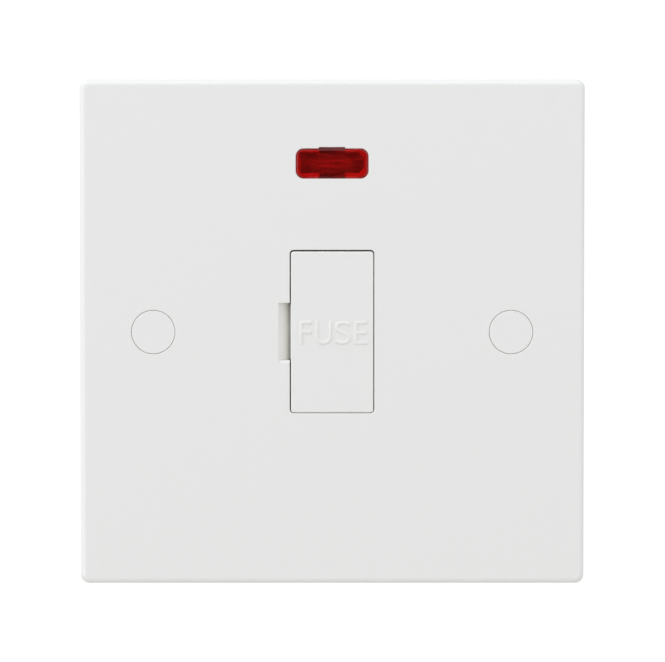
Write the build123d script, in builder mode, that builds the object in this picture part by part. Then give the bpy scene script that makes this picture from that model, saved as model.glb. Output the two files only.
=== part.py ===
from build123d import *
import os

# Single-gang fused spur unit, in millimetres.
# X runs to the right as seen from the room, Y into the wall, Z up; the origin is mid wall plane.
# A height is measured from the wall plane towards the room: what lies in the wall box is below zero.

# Faceplate
FIXING_CENTRES = 60.3
FIXING_MARGIN = 12.5  # fixing hole to the side of the plate
PLATE_DEPTH = 9.0
PLATE_SKIN = 2.6
PLATE_WALL = 2.2
PLATE_CORNER_R = 1.6
PLATE_EDGE_R = 1.0
PLATE_DRAFT = 1.0  # degrees
LIP_R = 0.15  # rounding of the openings in the front
RIB_T = 1.2
RIB_H = 4.6

# Box fixing screws and their caps
FIXING_SCREW_D = 3.5
FIXING_SCREW_L = 25.0
FIXING_NECK_D = 3.0
FIXING_HEAD_D = 6.2
FIXING_HEAD_H = 2.2
FIXING_HOLE_CLEAR = 0.55
FIXING_HEAD_CLEAR = 0.3
FIXING_THREAD_SETBACK = 0.2  # thread starts this far behind the wall plane
HEAD_ROOM = 0.4  # screw head to cap
HEAD_EDGE = 0.5  # chamfer of every screw head
CAP_D = 7.3
CAP_GAP = 0.06
CAP_DEPTH = 2.6
CAP_FACE = 1.2
CAP_WALL = 1.0
CAP_EDGE_R = 0.15
BOSS_WALL = 1.6
BOSS_SETBACK = 0.4

# Cartridge fuse
FUSE_L = 25.4
FUSE_D = 6.3
FUSE_CAP_L = 6.0
FUSE_CAP_WALL = 0.2
FUSE_EDGE_R = 0.3

# Contact strips and fuse clips
STRIP_T = 0.8
STRIP_W = 4.0
STRIP_BEND_R = 0.9  # on the centre line
CROSS_W = 2.5
STRAP_W = 5.0
CLIP_L = 5.0
CLIP_GAP = 0.05
CLIP_FLOOR_GAP = 0.35
CLIP_KNEE = 1.9  # flare starts this far in front of the fuse axis
CLIP_FLARE = 0.8
CLIP_FLARE_L = 1.4
SLOT_CLEAR = 0.2

# Fuse carrier
CARRIER_END_ROOM = 0.9  # fuse end to carrier end
CARRIER_GAP = 0.165
CARRIER_DROP = 0.075  # carrier below the middle of its opening, where its weight rests it
CARRIER_SHIFT = 0.02  # carrier right of the middle of its opening
CARRIER_CORNER_R = 0.5
CARRIER_EDGE_R = 0.25
CARRIER_FACE = 2.0
CHEEK_T = 1.3
CHEEK_ROOM = 0.86  # flared clip to cheek
CHEEK_CHAMFER = 2.5
CARRIER_REAR_ROOM = 2.8  # cheeks to the earth strap
JAW_T = 2.4
JAW_WALL = 1.2
JAW_GAP = 0.05
JAW_SPACING = 6.6
JAW_MOUTH = 5.0
WEB_T = 2.0
BRIDGE_T = 1.4
BARB_L = 2.0
BARB_H = 0.65
BARB_W = 4.0
BARB_SPACING = 17.0
BARB_CLEAR = 0.35
PRY_W = 9.8
PRY_DEPTH = 0.6
PRY_LIP = 1.8
SLEEVE_T = 1.4
SLEEVE_GAP = 0.3

# Lever notch beside the carrier, and the ledge at its foot
NOTCH_W = 1.9
NOTCH_TOP = 4.95  # upper end above the middle of the plate
NOTCH_FOOT = 4.77  # lower end below the middle of the plate
NOTCH_STEP = 0.3  # depth at the shallow side
NOTCH_DEPTH = 2.3  # depth beside the carrier
NOTCH_RAMP_R = 6.0
NOTCH_LIP = 0.42
LEDGE_W = 9.2
LEDGE_T = 1.6
LEDGE_REACH = 0.45  # past the side of the opening

# Neon lens and the window behind it
NEON_Z = 28.38
LENS_W = 12.1
LENS_H = 4.9
LENS_T = 1.4
LENS_CORNER_R = 1.25
LENS_GAP = 0.08
LENS_RECESS = 0.15
LENS_EDGE_R = 0.3
WINDOW_W = 10.7
WINDOW_H = 3.5
WINDOW_RISE = 0.15  # window above the middle of the lens
WINDOW_CHAMFER = 0.9
LEG_W = 4.2
LEG_T = 0.9
LEG_BARB = 0.5
LEG_REACH = 1.8  # leg end behind the plate's skin
LEG_CATCH_GAP = 0.1
LEG_NOTCH = 0.3
LEG_SIDE_GAP = 0.1

# Neon lamp and its wiring
LAMP_D = 4.2
LAMP_L = 10.0
LAMP_TIP_R = 1.4
LAMP_STANDOFF = 2.8  # base floor to lamp
TROUGH_L = 8.6
TROUGH_WALL = 0.8
TROUGH_GAP = 0.05
WIRE_D = 1.0
WIRE_BEND_R = 2.0
WIRE_PITCH = 1.4
WIRE_HOLE_CLEAR = 0.3
WIRE_TURN = 3.2  # lamp end to the neutral lead's first turn
WIRE_DROP = 5.2  # lamp axis to the neutral lead's long run
HOUSE_T = 1.0  # walls round the lamp
HOUSE_ROOM = 0.25  # lens catch to wall
HOUSE_END_ROOM = 0.7  # lamp end to wall
HOUSE_GAP = 0.2  # wall to the plate's skin
RESISTOR_D = 2.2
RESISTOR_L = 5.0
RESISTOR_DROP = 2.8  # lamp axis to the resistor's top
RESISTOR_EDGE_R = 0.5

# Terminal base and rear cover
BOSS_ROOM = 1.9  # fixing boss to base
FLOOR_SETBACK = 1.9  # wall plane to the floor's front
FLOOR_T = 1.5
SKIRT_T = 1.4
SKIRT_ROOM = 0.45  # lens catch to skirt
BASE_CORNER_R = 2.0
WELL_GAP = 0.4
WELL_EDGE = 0.2
STRAP_ROOM = 1.9  # live strip to the strap's leg
STRAP_INSET = 0.6
COVER_DEPTH = 9.6
COVER_WALL = 1.4
COVER_EDGE_R = 1.0
PAD_T = 1.4
PAD_L = 3.6
PAD_ROOM = 0.4
BARRIER_T = 1.5
BARRIER_GAP = 0.1
BARRIER_GUARD = 1.7  # barrier past the back of a terminal
BAY_GUARD = 0.9  # barrier past the end of a terminal

# Screws that hold plate, base and cover together
HOUSING_SCREW_D = 2.9
HOUSING_SCREW_L = 14.0
HOUSING_HEAD_D = 5.2
HOUSING_HEAD_H = 1.9
HOUSING_SEAT_DEPTH = 0.9
HOUSING_HOLE_CLEAR = 0.2
HOUSING_SPACING = 24.0
PILLAR_D = 5.4
PILLAR_ROOM = 0.25
PILOT_CLEAR = 0.04

# Terminals
TERMINAL_W = 8.6
TERMINAL_L = 7.6
TERMINAL_DEPTH = 8.6
TERMINAL_EDGE = 0.4
TERMINAL_INSET = 0.6
WIRE_BORE_D = 4.4
WIRE_BORE_WALL = 1.3
STRIP_OFFSET = 1.6  # strip centre from the terminal's centre, towards the fuse
CLAMP_D = 3.5
CLAMP_CLEAR = 0.04
CLAMP_TIP_GAP = 0.2
CLAMP_HEAD_D = 5.6
CLAMP_HEAD_H = 2.4
CLAMP_STANDOFF = 0.8
DRIVER_SLOT_W = 1.0
DRIVER_SLOT_DEPTH = 1.2

# Heights of the plate and its fixings
plate_size = FIXING_CENTRES + 2 * FIXING_MARGIN
skin_back = PLATE_DEPTH - PLATE_SKIN
fixing_x = FIXING_CENTRES / 2
recess_d = CAP_D + 2 * CAP_GAP
head_recess_d = FIXING_HEAD_D + 2 * FIXING_HEAD_CLEAR
boss_d = max(recess_d, head_recess_d) + 2 * BOSS_WALL
cap_rear = PLATE_DEPTH - CAP_DEPTH
fixing_seat = cap_rear - HEAD_ROOM - FIXING_HEAD_H

# Heights of the base, the cover and what they hold
floor_front = -FLOOR_SETBACK
floor_rear = floor_front - FLOOR_T
strip_rear = floor_rear - STRIP_T
cover_rear = floor_rear - COVER_DEPTH
cover_inner = cover_rear + COVER_WALL
fuse_height = floor_rear + CLIP_FLOOR_GAP + FUSE_D / 2
lamp_height = floor_front + LAMP_STANDOFF + LAMP_D / 2
lens_front = PLATE_DEPTH - LENS_RECESS
lens_seat = lens_front - LENS_T
terminal_rear = strip_rear - TERMINAL_DEPTH
wire_bore_height = strip_rear - WIRE_BORE_WALL - WIRE_BORE_D / 2
barrier_rear = terminal_rear - BARRIER_GUARD
housing_seat = cover_rear + HOUSING_SEAT_DEPTH

# The carrier round the fuse and its clips
clip_half = FUSE_D / 2 + CLIP_GAP
carrier_w = 2 * (clip_half + STRIP_T + CLIP_FLARE + CHEEK_ROOM + CHEEK_T)
carrier_h = FUSE_L + 2 * CARRIER_END_ROOM
carrier_back = PLATE_DEPTH - CARRIER_FACE
carrier_rear = cover_inner + STRIP_T + CARRIER_REAR_ROOM
aperture_w = carrier_w + 2 * CARRIER_GAP
aperture_h = carrier_h + 2 * CARRIER_GAP
aperture_left = -aperture_w / 2 - CARRIER_SHIFT
well_w = carrier_w + 2 * WELL_GAP
well_h = carrier_h + 2 * WELL_GAP
barb_slot_w = BARB_W + 2 * BARB_CLEAR
barb_slot_span = carrier_w + 2 * (BARB_H + BARB_CLEAR)
clip_z = (FUSE_L - FUSE_CAP_L) / 2

# Places across the base, from the fuse well outwards
cross_low = well_h / 2 + WELL_EDGE
cross_high = cross_low + CROSS_W
strap_leg = cross_high + STRAP_ROOM + STRIP_T / 2
cover_h = 2 * (strap_leg + STRIP_T / 2 + STRAP_INSET + COVER_WALL)
terminal_start = cover_h / 2 + TERMINAL_INSET
terminal_end = terminal_start + TERMINAL_L
terminal_z = terminal_start + TERMINAL_L / 2
bay_start = cover_h / 2 + BARRIER_GAP
bay_end = terminal_end + BAY_GUARD
lens_catch = NEON_Z + LENS_H / 2 + LEG_BARB
base_h = 2 * max(lens_catch + SKIRT_ROOM + SKIRT_T, bay_end)
base_w = FIXING_CENTRES - boss_d - 2 * BOSS_ROOM
bay_pitch = (base_w - BARRIER_T) / 3
strip_x = bay_pitch - STRIP_OFFSET
screw_x = base_w / 2 - SKIRT_T - PILLAR_ROOM - PILLAR_D / 2
wire_hole_z = cross_high + STRIP_W / 2
skirt_inside = base_h / 2 - SKIRT_T
house_w = LAMP_L + 2 * HOUSE_END_ROOM
house_h = skirt_inside - (NEON_Z - LENS_H / 2 - LEG_BARB - HOUSE_ROOM)
wire_slot_h = WIRE_PITCH + WIRE_D + 2 * WIRE_HOLE_CLEAR

TOP = 1
BOTTOM = -1
LEFT = -1
RIGHT = 1


def wall_plane(height):
    """Sketch plane parallel to the wall: local x is X, local y is Z, and the normal points to the room."""
    return Plane.XZ.offset(height)


def plan_plane(z):
    """Level sketch plane: local x is X, local y is the height, and the normal points down."""
    return Plane(origin=(0, 0, z), x_dir=(1, 0, 0), z_dir=(0, 0, -1))


def side_plane(x):
    """Upright sketch plane square to the wall: local x is the height, local y is Z."""
    return Plane(origin=(x, 0, 0), x_dir=(0, -1, 0), z_dir=(-1, 0, 0))


def point(x, height, z):
    """Point in space at a height in front of the wall plane."""
    return (x, -height, z)


def write(piece, name):
    """Label a finished piece and write it as one file."""
    piece.part.label = name
    export_step(piece.part, f"parts/{name}.step")


os.makedirs("parts", exist_ok=True)

# Lever notch, cut from the faceplate: a rounded ramp that falls towards the carrier, eased at its lower end
with BuildPart() as lever_notch:
    with BuildSketch(side_plane(aperture_left)):
        with BuildLine():
            Polyline(
                (PLATE_DEPTH, NOTCH_TOP),
                (PLATE_DEPTH - NOTCH_DEPTH, NOTCH_TOP),
                (PLATE_DEPTH - NOTCH_DEPTH, -NOTCH_FOOT),
                (PLATE_DEPTH - NOTCH_LIP, -NOTCH_FOOT),
                (PLATE_DEPTH, -NOTCH_FOOT - NOTCH_LIP),
                close=True,
            )
        make_face()
    extrude(amount=NOTCH_W)
    with BuildSketch(plan_plane(0)):
        ramp_head = (aperture_left - NOTCH_W, PLATE_DEPTH - NOTCH_STEP)
        ramp_foot = (aperture_left, PLATE_DEPTH - NOTCH_DEPTH)
        with BuildLine():
            RadiusArc(ramp_head, ramp_foot, NOTCH_RAMP_R)
            Polyline(
                ramp_foot,
                (aperture_left, PLATE_DEPTH),
                (aperture_left - NOTCH_W, PLATE_DEPTH),
                ramp_head,
            )
        make_face()
    extrude(amount=NOTCH_TOP + NOTCH_FOOT, both=True, mode=Mode.INTERSECT)

# Faceplate: drafted square shell with a plain rounded front edge
with BuildPart() as faceplate:
    with BuildSketch(wall_plane(0)):
        RectangleRounded(plate_size, plate_size, PLATE_CORNER_R)
    extrude(amount=PLATE_DEPTH, taper=PLATE_DRAFT)
    fillet(faceplate.faces().sort_by(Axis.Y)[0].edges(), PLATE_EDGE_R)
    with BuildSketch(wall_plane(0)):
        Rectangle(plate_size - 2 * PLATE_WALL, plate_size - 2 * PLATE_WALL)
    extrude(amount=skin_back, taper=PLATE_DRAFT, mode=Mode.SUBTRACT)

    # Bosses for the fixing screws, each with a rib out to the rim
    with BuildSketch(wall_plane(BOSS_SETBACK)):
        with GridLocations(FIXING_CENTRES, 0, 2, 1):
            Circle(boss_d / 2)
    extrude(amount=skin_back - BOSS_SETBACK)
    with BuildSketch(wall_plane(skin_back)):
        with GridLocations(FIXING_CENTRES + FIXING_MARGIN, 0, 2, 1):
            Rectangle(FIXING_MARGIN - PLATE_WALL, RIB_T)
    extrude(amount=-RIB_H)

    # Sleeve that guides the carrier, and pillars for the housing screws
    with BuildSketch(wall_plane(floor_front + SLEEVE_GAP)):
        RectangleRounded(aperture_w + 2 * SLEEVE_T, aperture_h + 2 * SLEEVE_T, SLEEVE_T)
    extrude(amount=skin_back - floor_front - SLEEVE_GAP)
    with BuildSketch(wall_plane(floor_front)):
        with GridLocations(2 * screw_x, HOUSING_SPACING, 2, 2):
            Circle(PILLAR_D / 2)
    extrude(amount=skin_back - floor_front)

    # Openings in the front: carrier, lens and cap recesses
    with BuildSketch(wall_plane(floor_front)):
        with Locations((-CARRIER_SHIFT, CARRIER_DROP)):
            RectangleRounded(aperture_w, aperture_h, CARRIER_CORNER_R + CARRIER_GAP)
    extrude(amount=PLATE_DEPTH - floor_front, mode=Mode.SUBTRACT)
    with BuildSketch(wall_plane(lens_seat)):
        with Locations((0, NEON_Z)):
            RectangleRounded(LENS_W + 2 * LENS_GAP, LENS_H + 2 * LENS_GAP, LENS_CORNER_R + LENS_GAP)
    extrude(amount=PLATE_DEPTH - lens_seat, mode=Mode.SUBTRACT)
    with BuildSketch(wall_plane(skin_back)):
        with Locations((0, NEON_Z + LENS_H / 2 + LEG_NOTCH)):
            Rectangle(LEG_W + 2 * LEG_SIDE_GAP, LENS_H / 2 + LEG_NOTCH, align=(Align.CENTER, Align.MAX))
    extrude(amount=PLATE_SKIN, mode=Mode.SUBTRACT)
    with BuildSketch(wall_plane(cap_rear)):
        with GridLocations(FIXING_CENTRES, 0, 2, 1):
            Circle(recess_d / 2)
    extrude(amount=CAP_DEPTH, mode=Mode.SUBTRACT)
    lips = [wire.edges() for wire in faceplate.faces().sort_by(Axis.Y)[0].inner_wires()]
    fillet(lips, LIP_R)

    # Window through the lens seat, with room for the lens's legs
    with BuildSketch(wall_plane(skin_back)):
        with Locations((0, NEON_Z + WINDOW_RISE)):
            window = Rectangle(WINDOW_W, WINDOW_H)
        chamfer(window.vertices().group_by(Axis.X)[-1], WINDOW_CHAMFER)
        with Locations((0, NEON_Z)):
            Rectangle(LEG_W + 2 * LEG_SIDE_GAP, LENS_H + 2 * LENS_GAP)
    extrude(amount=lens_seat - skin_back, mode=Mode.SUBTRACT)

    # Seats and holes for the fixing screws, pilot holes for the housing screws
    with BuildSketch(wall_plane(fixing_seat)):
        with GridLocations(FIXING_CENTRES, 0, 2, 1):
            Circle(head_recess_d / 2)
    extrude(amount=cap_rear - fixing_seat, mode=Mode.SUBTRACT)
    with BuildSketch(wall_plane(BOSS_SETBACK)):
        with GridLocations(FIXING_CENTRES, 0, 2, 1):
            Circle((FIXING_SCREW_D + FIXING_HOLE_CLEAR) / 2)
    extrude(amount=fixing_seat - BOSS_SETBACK, mode=Mode.SUBTRACT)
    with BuildSketch(wall_plane(floor_front)):
        with GridLocations(2 * screw_x, HOUSING_SPACING, 2, 2):
            Circle((HOUSING_SCREW_D + PILOT_CLEAR) / 2)
    extrude(amount=skin_back - floor_front, mode=Mode.SUBTRACT)

    # Slots in the sleeve for the carrier's barbs, which stop against the back of the skin
    with BuildSketch(wall_plane(floor_front)):
        with GridLocations(0, BARB_SPACING, 1, 2):
            Rectangle(aperture_w + 2 * SLEEVE_T, barb_slot_w)
    extrude(amount=skin_back - floor_front, mode=Mode.SUBTRACT)

    # Lever notch, and a ledge at its foot that stops the lever
    add(lever_notch.part, mode=Mode.SUBTRACT)
    with BuildSketch(wall_plane(PLATE_DEPTH - NOTCH_DEPTH)):
        with Locations((aperture_left, 0)):
            Rectangle(2 * LEDGE_REACH, LEDGE_W)
    extrude(amount=-LEDGE_T)

write(faceplate, "faceplate")

# Screw caps: shallow cups pressed into the recesses
for side, name in ((LEFT, "screw_cap_left"), (RIGHT, "screw_cap_right")):
    with BuildPart() as screw_cap:
        with BuildSketch(wall_plane(cap_rear)):
            with Locations((side * fixing_x, 0)):
                Circle(CAP_D / 2)
        extrude(amount=CAP_DEPTH)
        fillet(screw_cap.faces().sort_by(Axis.Y)[0].edges(), CAP_EDGE_R)
        with BuildSketch(wall_plane(cap_rear)):
            with Locations((side * fixing_x, 0)):
                Circle(CAP_D / 2 - CAP_WALL)
        extrude(amount=CAP_DEPTH - CAP_FACE, mode=Mode.SUBTRACT)
    write(screw_cap, name)

# Fixing screws: slotted pan head, thinner neck in the plate, threaded end in the box
with BuildPart() as fixing_screws:
    with BuildSketch(wall_plane(fixing_seat)):
        with GridLocations(FIXING_CENTRES, 0, 2, 1):
            Circle(FIXING_HEAD_D / 2)
    extrude(amount=FIXING_HEAD_H)
    chamfer(fixing_screws.faces().group_by(Axis.Y)[0].edges(), HEAD_EDGE)
    with BuildSketch(wall_plane(fixing_seat + FIXING_HEAD_H)):
        with GridLocations(FIXING_CENTRES, 0, 2, 1):
            Rectangle(FIXING_HEAD_D, DRIVER_SLOT_W)
    extrude(amount=-DRIVER_SLOT_DEPTH, mode=Mode.SUBTRACT)
    with BuildSketch(wall_plane(fixing_seat)):
        with GridLocations(FIXING_CENTRES, 0, 2, 1):
            Circle(FIXING_NECK_D / 2)
    extrude(amount=-fixing_seat - FIXING_THREAD_SETBACK)
    with BuildSketch(wall_plane(-FIXING_THREAD_SETBACK)):
        with GridLocations(FIXING_CENTRES, 0, 2, 1):
            Circle(FIXING_SCREW_D / 2)
    extrude(amount=fixing_seat + FIXING_THREAD_SETBACK - FIXING_SCREW_L)
    chamfer(fixing_screws.faces().group_by(Axis.Y)[-1].edges(), (FIXING_SCREW_D - FIXING_NECK_D) / 2)

write(fixing_screws, "fixing_screws")

# Terminal base: floor with a skirt to the plate and barriers between the terminals
with BuildPart() as base:
    with BuildSketch(wall_plane(floor_rear)):
        RectangleRounded(base_w, base_h, BASE_CORNER_R)
    extrude(amount=skin_back - floor_rear)
    with BuildSketch(wall_plane(floor_front)):
        RectangleRounded(base_w - 2 * SKIRT_T, base_h - 2 * SKIRT_T, BASE_CORNER_R - SKIRT_T / 2)
    extrude(amount=skin_back - floor_front, mode=Mode.SUBTRACT)
    with BuildSketch(wall_plane(floor_rear)):
        with GridLocations(bay_pitch, bay_start + bay_end, 4, 2):
            Rectangle(BARRIER_T, bay_end - bay_start)
    extrude(amount=barrier_rear - floor_rear)

    # Trough that holds the lamp behind the lens
    with BuildSketch(side_plane(0)):
        with Locations(((floor_front + lamp_height) / 2, NEON_Z)):
            Rectangle(LAMP_STANDOFF + LAMP_D / 2, LAMP_D + 2 * TROUGH_WALL)
        with Locations((lamp_height, NEON_Z)):
            Circle(LAMP_D / 2 + TROUGH_GAP, mode=Mode.SUBTRACT)
    extrude(amount=TROUGH_L / 2, both=True)

    # White walls that keep the lamp's light behind the lens, with a slot for its wires
    with BuildSketch(wall_plane(floor_front)):
        with Locations((0, skirt_inside)):
            Rectangle(house_w + 2 * HOUSE_T, house_h + HOUSE_T, align=(Align.CENTER, Align.MAX))
            Rectangle(house_w, house_h, align=(Align.CENTER, Align.MAX), mode=Mode.SUBTRACT)
    extrude(amount=skin_back - HOUSE_GAP - floor_front)
    with BuildSketch(wall_plane(skin_back)):
        with Locations((house_w / 2, NEON_Z)):
            Rectangle(HOUSE_T, wire_slot_h, align=(Align.MIN, Align.CENTER))
    extrude(amount=lamp_height - wire_slot_h / 2 - skin_back, mode=Mode.SUBTRACT)

    # Well for the carrier, screw holes and wire holes
    with BuildSketch(wall_plane(floor_rear)):
        Rectangle(well_w, well_h)
        with GridLocations(0, BARB_SPACING, 1, 2):
            Rectangle(barb_slot_span, barb_slot_w)
        with GridLocations(2 * screw_x, HOUSING_SPACING, 2, 2):
            Circle((HOUSING_SCREW_D + HOUSING_HOLE_CLEAR) / 2)
        with Locations((strip_x, -wire_hole_z), (-strip_x, wire_hole_z)):
            Circle((WIRE_D + WIRE_HOLE_CLEAR) / 2)
    extrude(amount=FLOOR_T, mode=Mode.SUBTRACT)

write(base, "base")

# Rear cover: cup over the fuse well, with screw columns and pads behind the fuse clips
with BuildPart() as rear_cover:
    with BuildSketch(wall_plane(cover_rear)):
        RectangleRounded(base_w, cover_h, BASE_CORNER_R)
    extrude(amount=COVER_DEPTH)
    fillet(rear_cover.faces().sort_by(Axis.Y)[-1].edges(), COVER_EDGE_R)
    with BuildSketch(wall_plane(cover_inner)):
        RectangleRounded(base_w - 2 * COVER_WALL, cover_h - 2 * COVER_WALL, BASE_CORNER_R - COVER_WALL / 2)
    extrude(amount=floor_rear - cover_inner, mode=Mode.SUBTRACT)
    with BuildSketch(wall_plane(cover_inner)):
        with GridLocations(2 * screw_x, HOUSING_SPACING, 2, 2):
            Circle(PILLAR_D / 2)
    extrude(amount=floor_rear - cover_inner)
    with BuildSketch(wall_plane(cover_inner)):
        with GridLocations(STRAP_W + 2 * PAD_ROOM + PAD_T, 2 * clip_z, 2, 2):
            Rectangle(PAD_T, PAD_L)
    extrude(amount=strip_rear - cover_inner)

    # Slots in the end walls for the strips, and the screw holes
    with BuildSketch(wall_plane(floor_rear)):
        with GridLocations(2 * strip_x, cover_h - COVER_WALL, 2, 2):
            Rectangle(STRIP_W + 2 * SLOT_CLEAR, COVER_WALL)
        with GridLocations(0, cover_h - COVER_WALL, 1, 2):
            Rectangle(STRAP_W + 2 * SLOT_CLEAR, COVER_WALL)
    extrude(amount=-STRIP_T - SLOT_CLEAR, mode=Mode.SUBTRACT)
    with BuildSketch(wall_plane(cover_rear)):
        with GridLocations(2 * screw_x, HOUSING_SPACING, 2, 2):
            Circle((HOUSING_SCREW_D + HOUSING_HOLE_CLEAR) / 2)
    extrude(amount=COVER_DEPTH, mode=Mode.SUBTRACT)
    with BuildSketch(wall_plane(cover_rear)):
        with GridLocations(2 * screw_x, HOUSING_SPACING, 2, 2):
            Circle((HOUSING_HEAD_D + HOUSING_HOLE_CLEAR) / 2)
    extrude(amount=HOUSING_SEAT_DEPTH, mode=Mode.SUBTRACT)

write(rear_cover, "rear_cover")

# Housing screws: from the back through the cover and the base into the plate's pillars
with BuildPart() as housing_screws:
    with BuildSketch(wall_plane(housing_seat)):
        with GridLocations(2 * screw_x, HOUSING_SPACING, 2, 2):
            Circle(HOUSING_HEAD_D / 2)
    extrude(amount=-HOUSING_HEAD_H)
    chamfer(housing_screws.faces().group_by(Axis.Y)[-1].edges(), HEAD_EDGE)
    with BuildSketch(wall_plane(housing_seat - HOUSING_HEAD_H)):
        with GridLocations(2 * screw_x, HOUSING_SPACING, 2, 2):
            Rectangle(HOUSING_HEAD_D - DRIVER_SLOT_DEPTH, DRIVER_SLOT_W)
            Rectangle(DRIVER_SLOT_W, HOUSING_HEAD_D - DRIVER_SLOT_DEPTH)
    extrude(amount=DRIVER_SLOT_DEPTH, mode=Mode.SUBTRACT)
    with BuildSketch(wall_plane(housing_seat)):
        with GridLocations(2 * screw_x, HOUSING_SPACING, 2, 2):
            Circle(HOUSING_SCREW_D / 2)
    extrude(amount=HOUSING_SCREW_L)

write(housing_screws, "housing_screws")

# Fuse carrier: flush face, two cheeks with barbs, and jaws that hold the fuse
with BuildPart() as fuse_carrier:
    with BuildSketch(wall_plane(PLATE_DEPTH)):
        RectangleRounded(carrier_w, carrier_h, CARRIER_CORNER_R)
    extrude(amount=-CARRIER_FACE)
    fillet(fuse_carrier.faces().sort_by(Axis.Y)[0].edges(), CARRIER_EDGE_R)
    for side in (LEFT, RIGHT):
        with BuildSketch(side_plane(side * (carrier_w - CHEEK_T) / 2)) as cheek:
            with Locations(((carrier_back + carrier_rear) / 2, 0)):
                Rectangle(carrier_back - carrier_rear, carrier_h - 2 * CARRIER_CORNER_R)
            chamfer(cheek.vertices().group_by(Axis.X)[0], CHEEK_CHAMFER)
        extrude(amount=CHEEK_T / 2, both=True)

    # Barbs: square towards the room, ramped behind
    for side in (LEFT, RIGHT):
        for z in (-BARB_SPACING / 2, BARB_SPACING / 2):
            with BuildSketch(plan_plane(z)):
                with BuildLine():
                    Polyline(
                        (side * carrier_w / 2, carrier_rear),
                        (side * carrier_w / 2, carrier_rear + BARB_L),
                        (side * (carrier_w / 2 + BARB_H), carrier_rear + BARB_L),
                        close=True,
                    )
                make_face()
            extrude(amount=BARB_W / 2, both=True)

    # Jaws open to the back, carried by a web under the face and a bridge to each cheek
    for z in (-JAW_SPACING / 2, JAW_SPACING / 2):
        with BuildSketch(plan_plane(z)):
            with Locations((0, fuse_height)):
                Circle(FUSE_D / 2 + JAW_GAP + JAW_WALL)
                Rectangle(carrier_w - CHEEK_T, BRIDGE_T)
                Circle(FUSE_D / 2 + JAW_GAP, mode=Mode.SUBTRACT)
            with Locations((0, fuse_height - FUSE_D)):
                Rectangle(JAW_MOUTH, 2 * FUSE_D, mode=Mode.SUBTRACT)
        extrude(amount=JAW_T / 2, both=True)
    with BuildSketch(side_plane(0)):
        web_foot = fuse_height + FUSE_D / 2 + JAW_GAP + JAW_WALL / 2
        with Locations(((carrier_back + web_foot) / 2, 0)):
            Rectangle(carrier_back - web_foot, JAW_SPACING + JAW_T)
    extrude(amount=WEB_T / 2, both=True)

    # Groove in the left cheek: the lever lifts its front end, and the plate's ledge runs in it
    with BuildSketch(plan_plane(0)):
        with Locations((-carrier_w / 2, PLATE_DEPTH - PRY_LIP)):
            Rectangle(PRY_DEPTH, PLATE_DEPTH - PRY_LIP - carrier_rear, align=(Align.MIN, Align.MAX))
    extrude(amount=PRY_W / 2, both=True, mode=Mode.SUBTRACT)

write(fuse_carrier, "fuse_carrier")

# Cartridge fuse: ceramic barrel with a pressed metal cap on each end
barrel_r = FUSE_D / 2 - FUSE_CAP_WALL

with BuildPart() as fuse_barrel:
    with BuildSketch(plan_plane(0)):
        with Locations((0, fuse_height)):
            Circle(barrel_r)
    extrude(amount=FUSE_L / 2 - FUSE_CAP_WALL, both=True)

write(fuse_barrel, "fuse_barrel")

for end, name in ((TOP, "fuse_end_cap_upper"), (BOTTOM, "fuse_end_cap_lower")):
    with BuildPart() as fuse_end_cap:
        with BuildSketch(plan_plane(end * clip_z)):
            with Locations((0, fuse_height)):
                Circle(FUSE_D / 2)
        extrude(amount=FUSE_CAP_L / 2, both=True)
        closed_end = fuse_end_cap.faces().sort_by_distance(point(0, fuse_height, end * FUSE_L))[0]
        fillet(closed_end.edges(), FUSE_EDGE_R)
        with BuildSketch(plan_plane(end * (FUSE_L / 2 - FUSE_CAP_WALL))):
            with Locations((0, fuse_height)):
                Circle(barrel_r)
        extrude(amount=end * FUSE_CAP_L, mode=Mode.SUBTRACT)
    write(fuse_end_cap, name)

# Live contacts: a sprung clip for one end of the fuse, and a strip to its terminal
for end, name in ((TOP, "supply_live_contact"), (BOTTOM, "load_live_contact")):
    with BuildPart() as live_contact:
        with BuildSketch(plan_plane(end * clip_z)):
            arm_x = clip_half + STRIP_T / 2
            knee = fuse_height + CLIP_KNEE
            with BuildLine():
                FilletPolyline(
                    (-arm_x - CLIP_FLARE, knee + CLIP_FLARE_L),
                    (-arm_x, knee),
                    (-arm_x, floor_rear - STRIP_T / 2),
                    (arm_x, floor_rear - STRIP_T / 2),
                    (arm_x, knee),
                    (arm_x + CLIP_FLARE, knee + CLIP_FLARE_L),
                    radius=STRIP_BEND_R,
                )
            trace(line_width=STRIP_T)
        extrude(amount=CLIP_L / 2, both=True)
        with BuildSketch(wall_plane(floor_rear)):
            with Locations((0, end * (clip_z + cross_high) / 2)):
                Rectangle(STRAP_W, cross_high - clip_z)
            with Locations(((strip_x + STRIP_W / 2 - STRAP_W / 2) / 2, end * (cross_low + cross_high) / 2)):
                Rectangle(strip_x + STRIP_W / 2 + STRAP_W / 2, CROSS_W)
            with Locations((strip_x, end * (cross_low + terminal_end) / 2)):
                Rectangle(STRIP_W, terminal_end - cross_low)
        extrude(amount=-STRIP_T)
    write(live_contact, name)

# Neutral link: one straight strip under both neutral terminals
with BuildPart() as neutral_link:
    with BuildSketch(wall_plane(floor_rear)):
        with Locations((-strip_x, 0)):
            Rectangle(STRIP_W, 2 * terminal_end)
    extrude(amount=-STRIP_T)

write(neutral_link, "neutral_link")

# Earth strap: bent strip that passes behind the fuse well
with BuildPart() as earth_strap:
    with BuildSketch(side_plane(0)):
        foot = floor_rear - STRIP_T / 2
        spine = cover_inner + STRIP_T / 2
        with BuildLine():
            FilletPolyline(
                (foot, terminal_end),
                (foot, strap_leg),
                (spine, strap_leg),
                (spine, -strap_leg),
                (foot, -strap_leg),
                (foot, -terminal_end),
                radius=STRIP_BEND_R,
            )
        trace(line_width=STRIP_T)
    extrude(amount=STRAP_W / 2, both=True)

write(earth_strap, "earth_strap")

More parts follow.
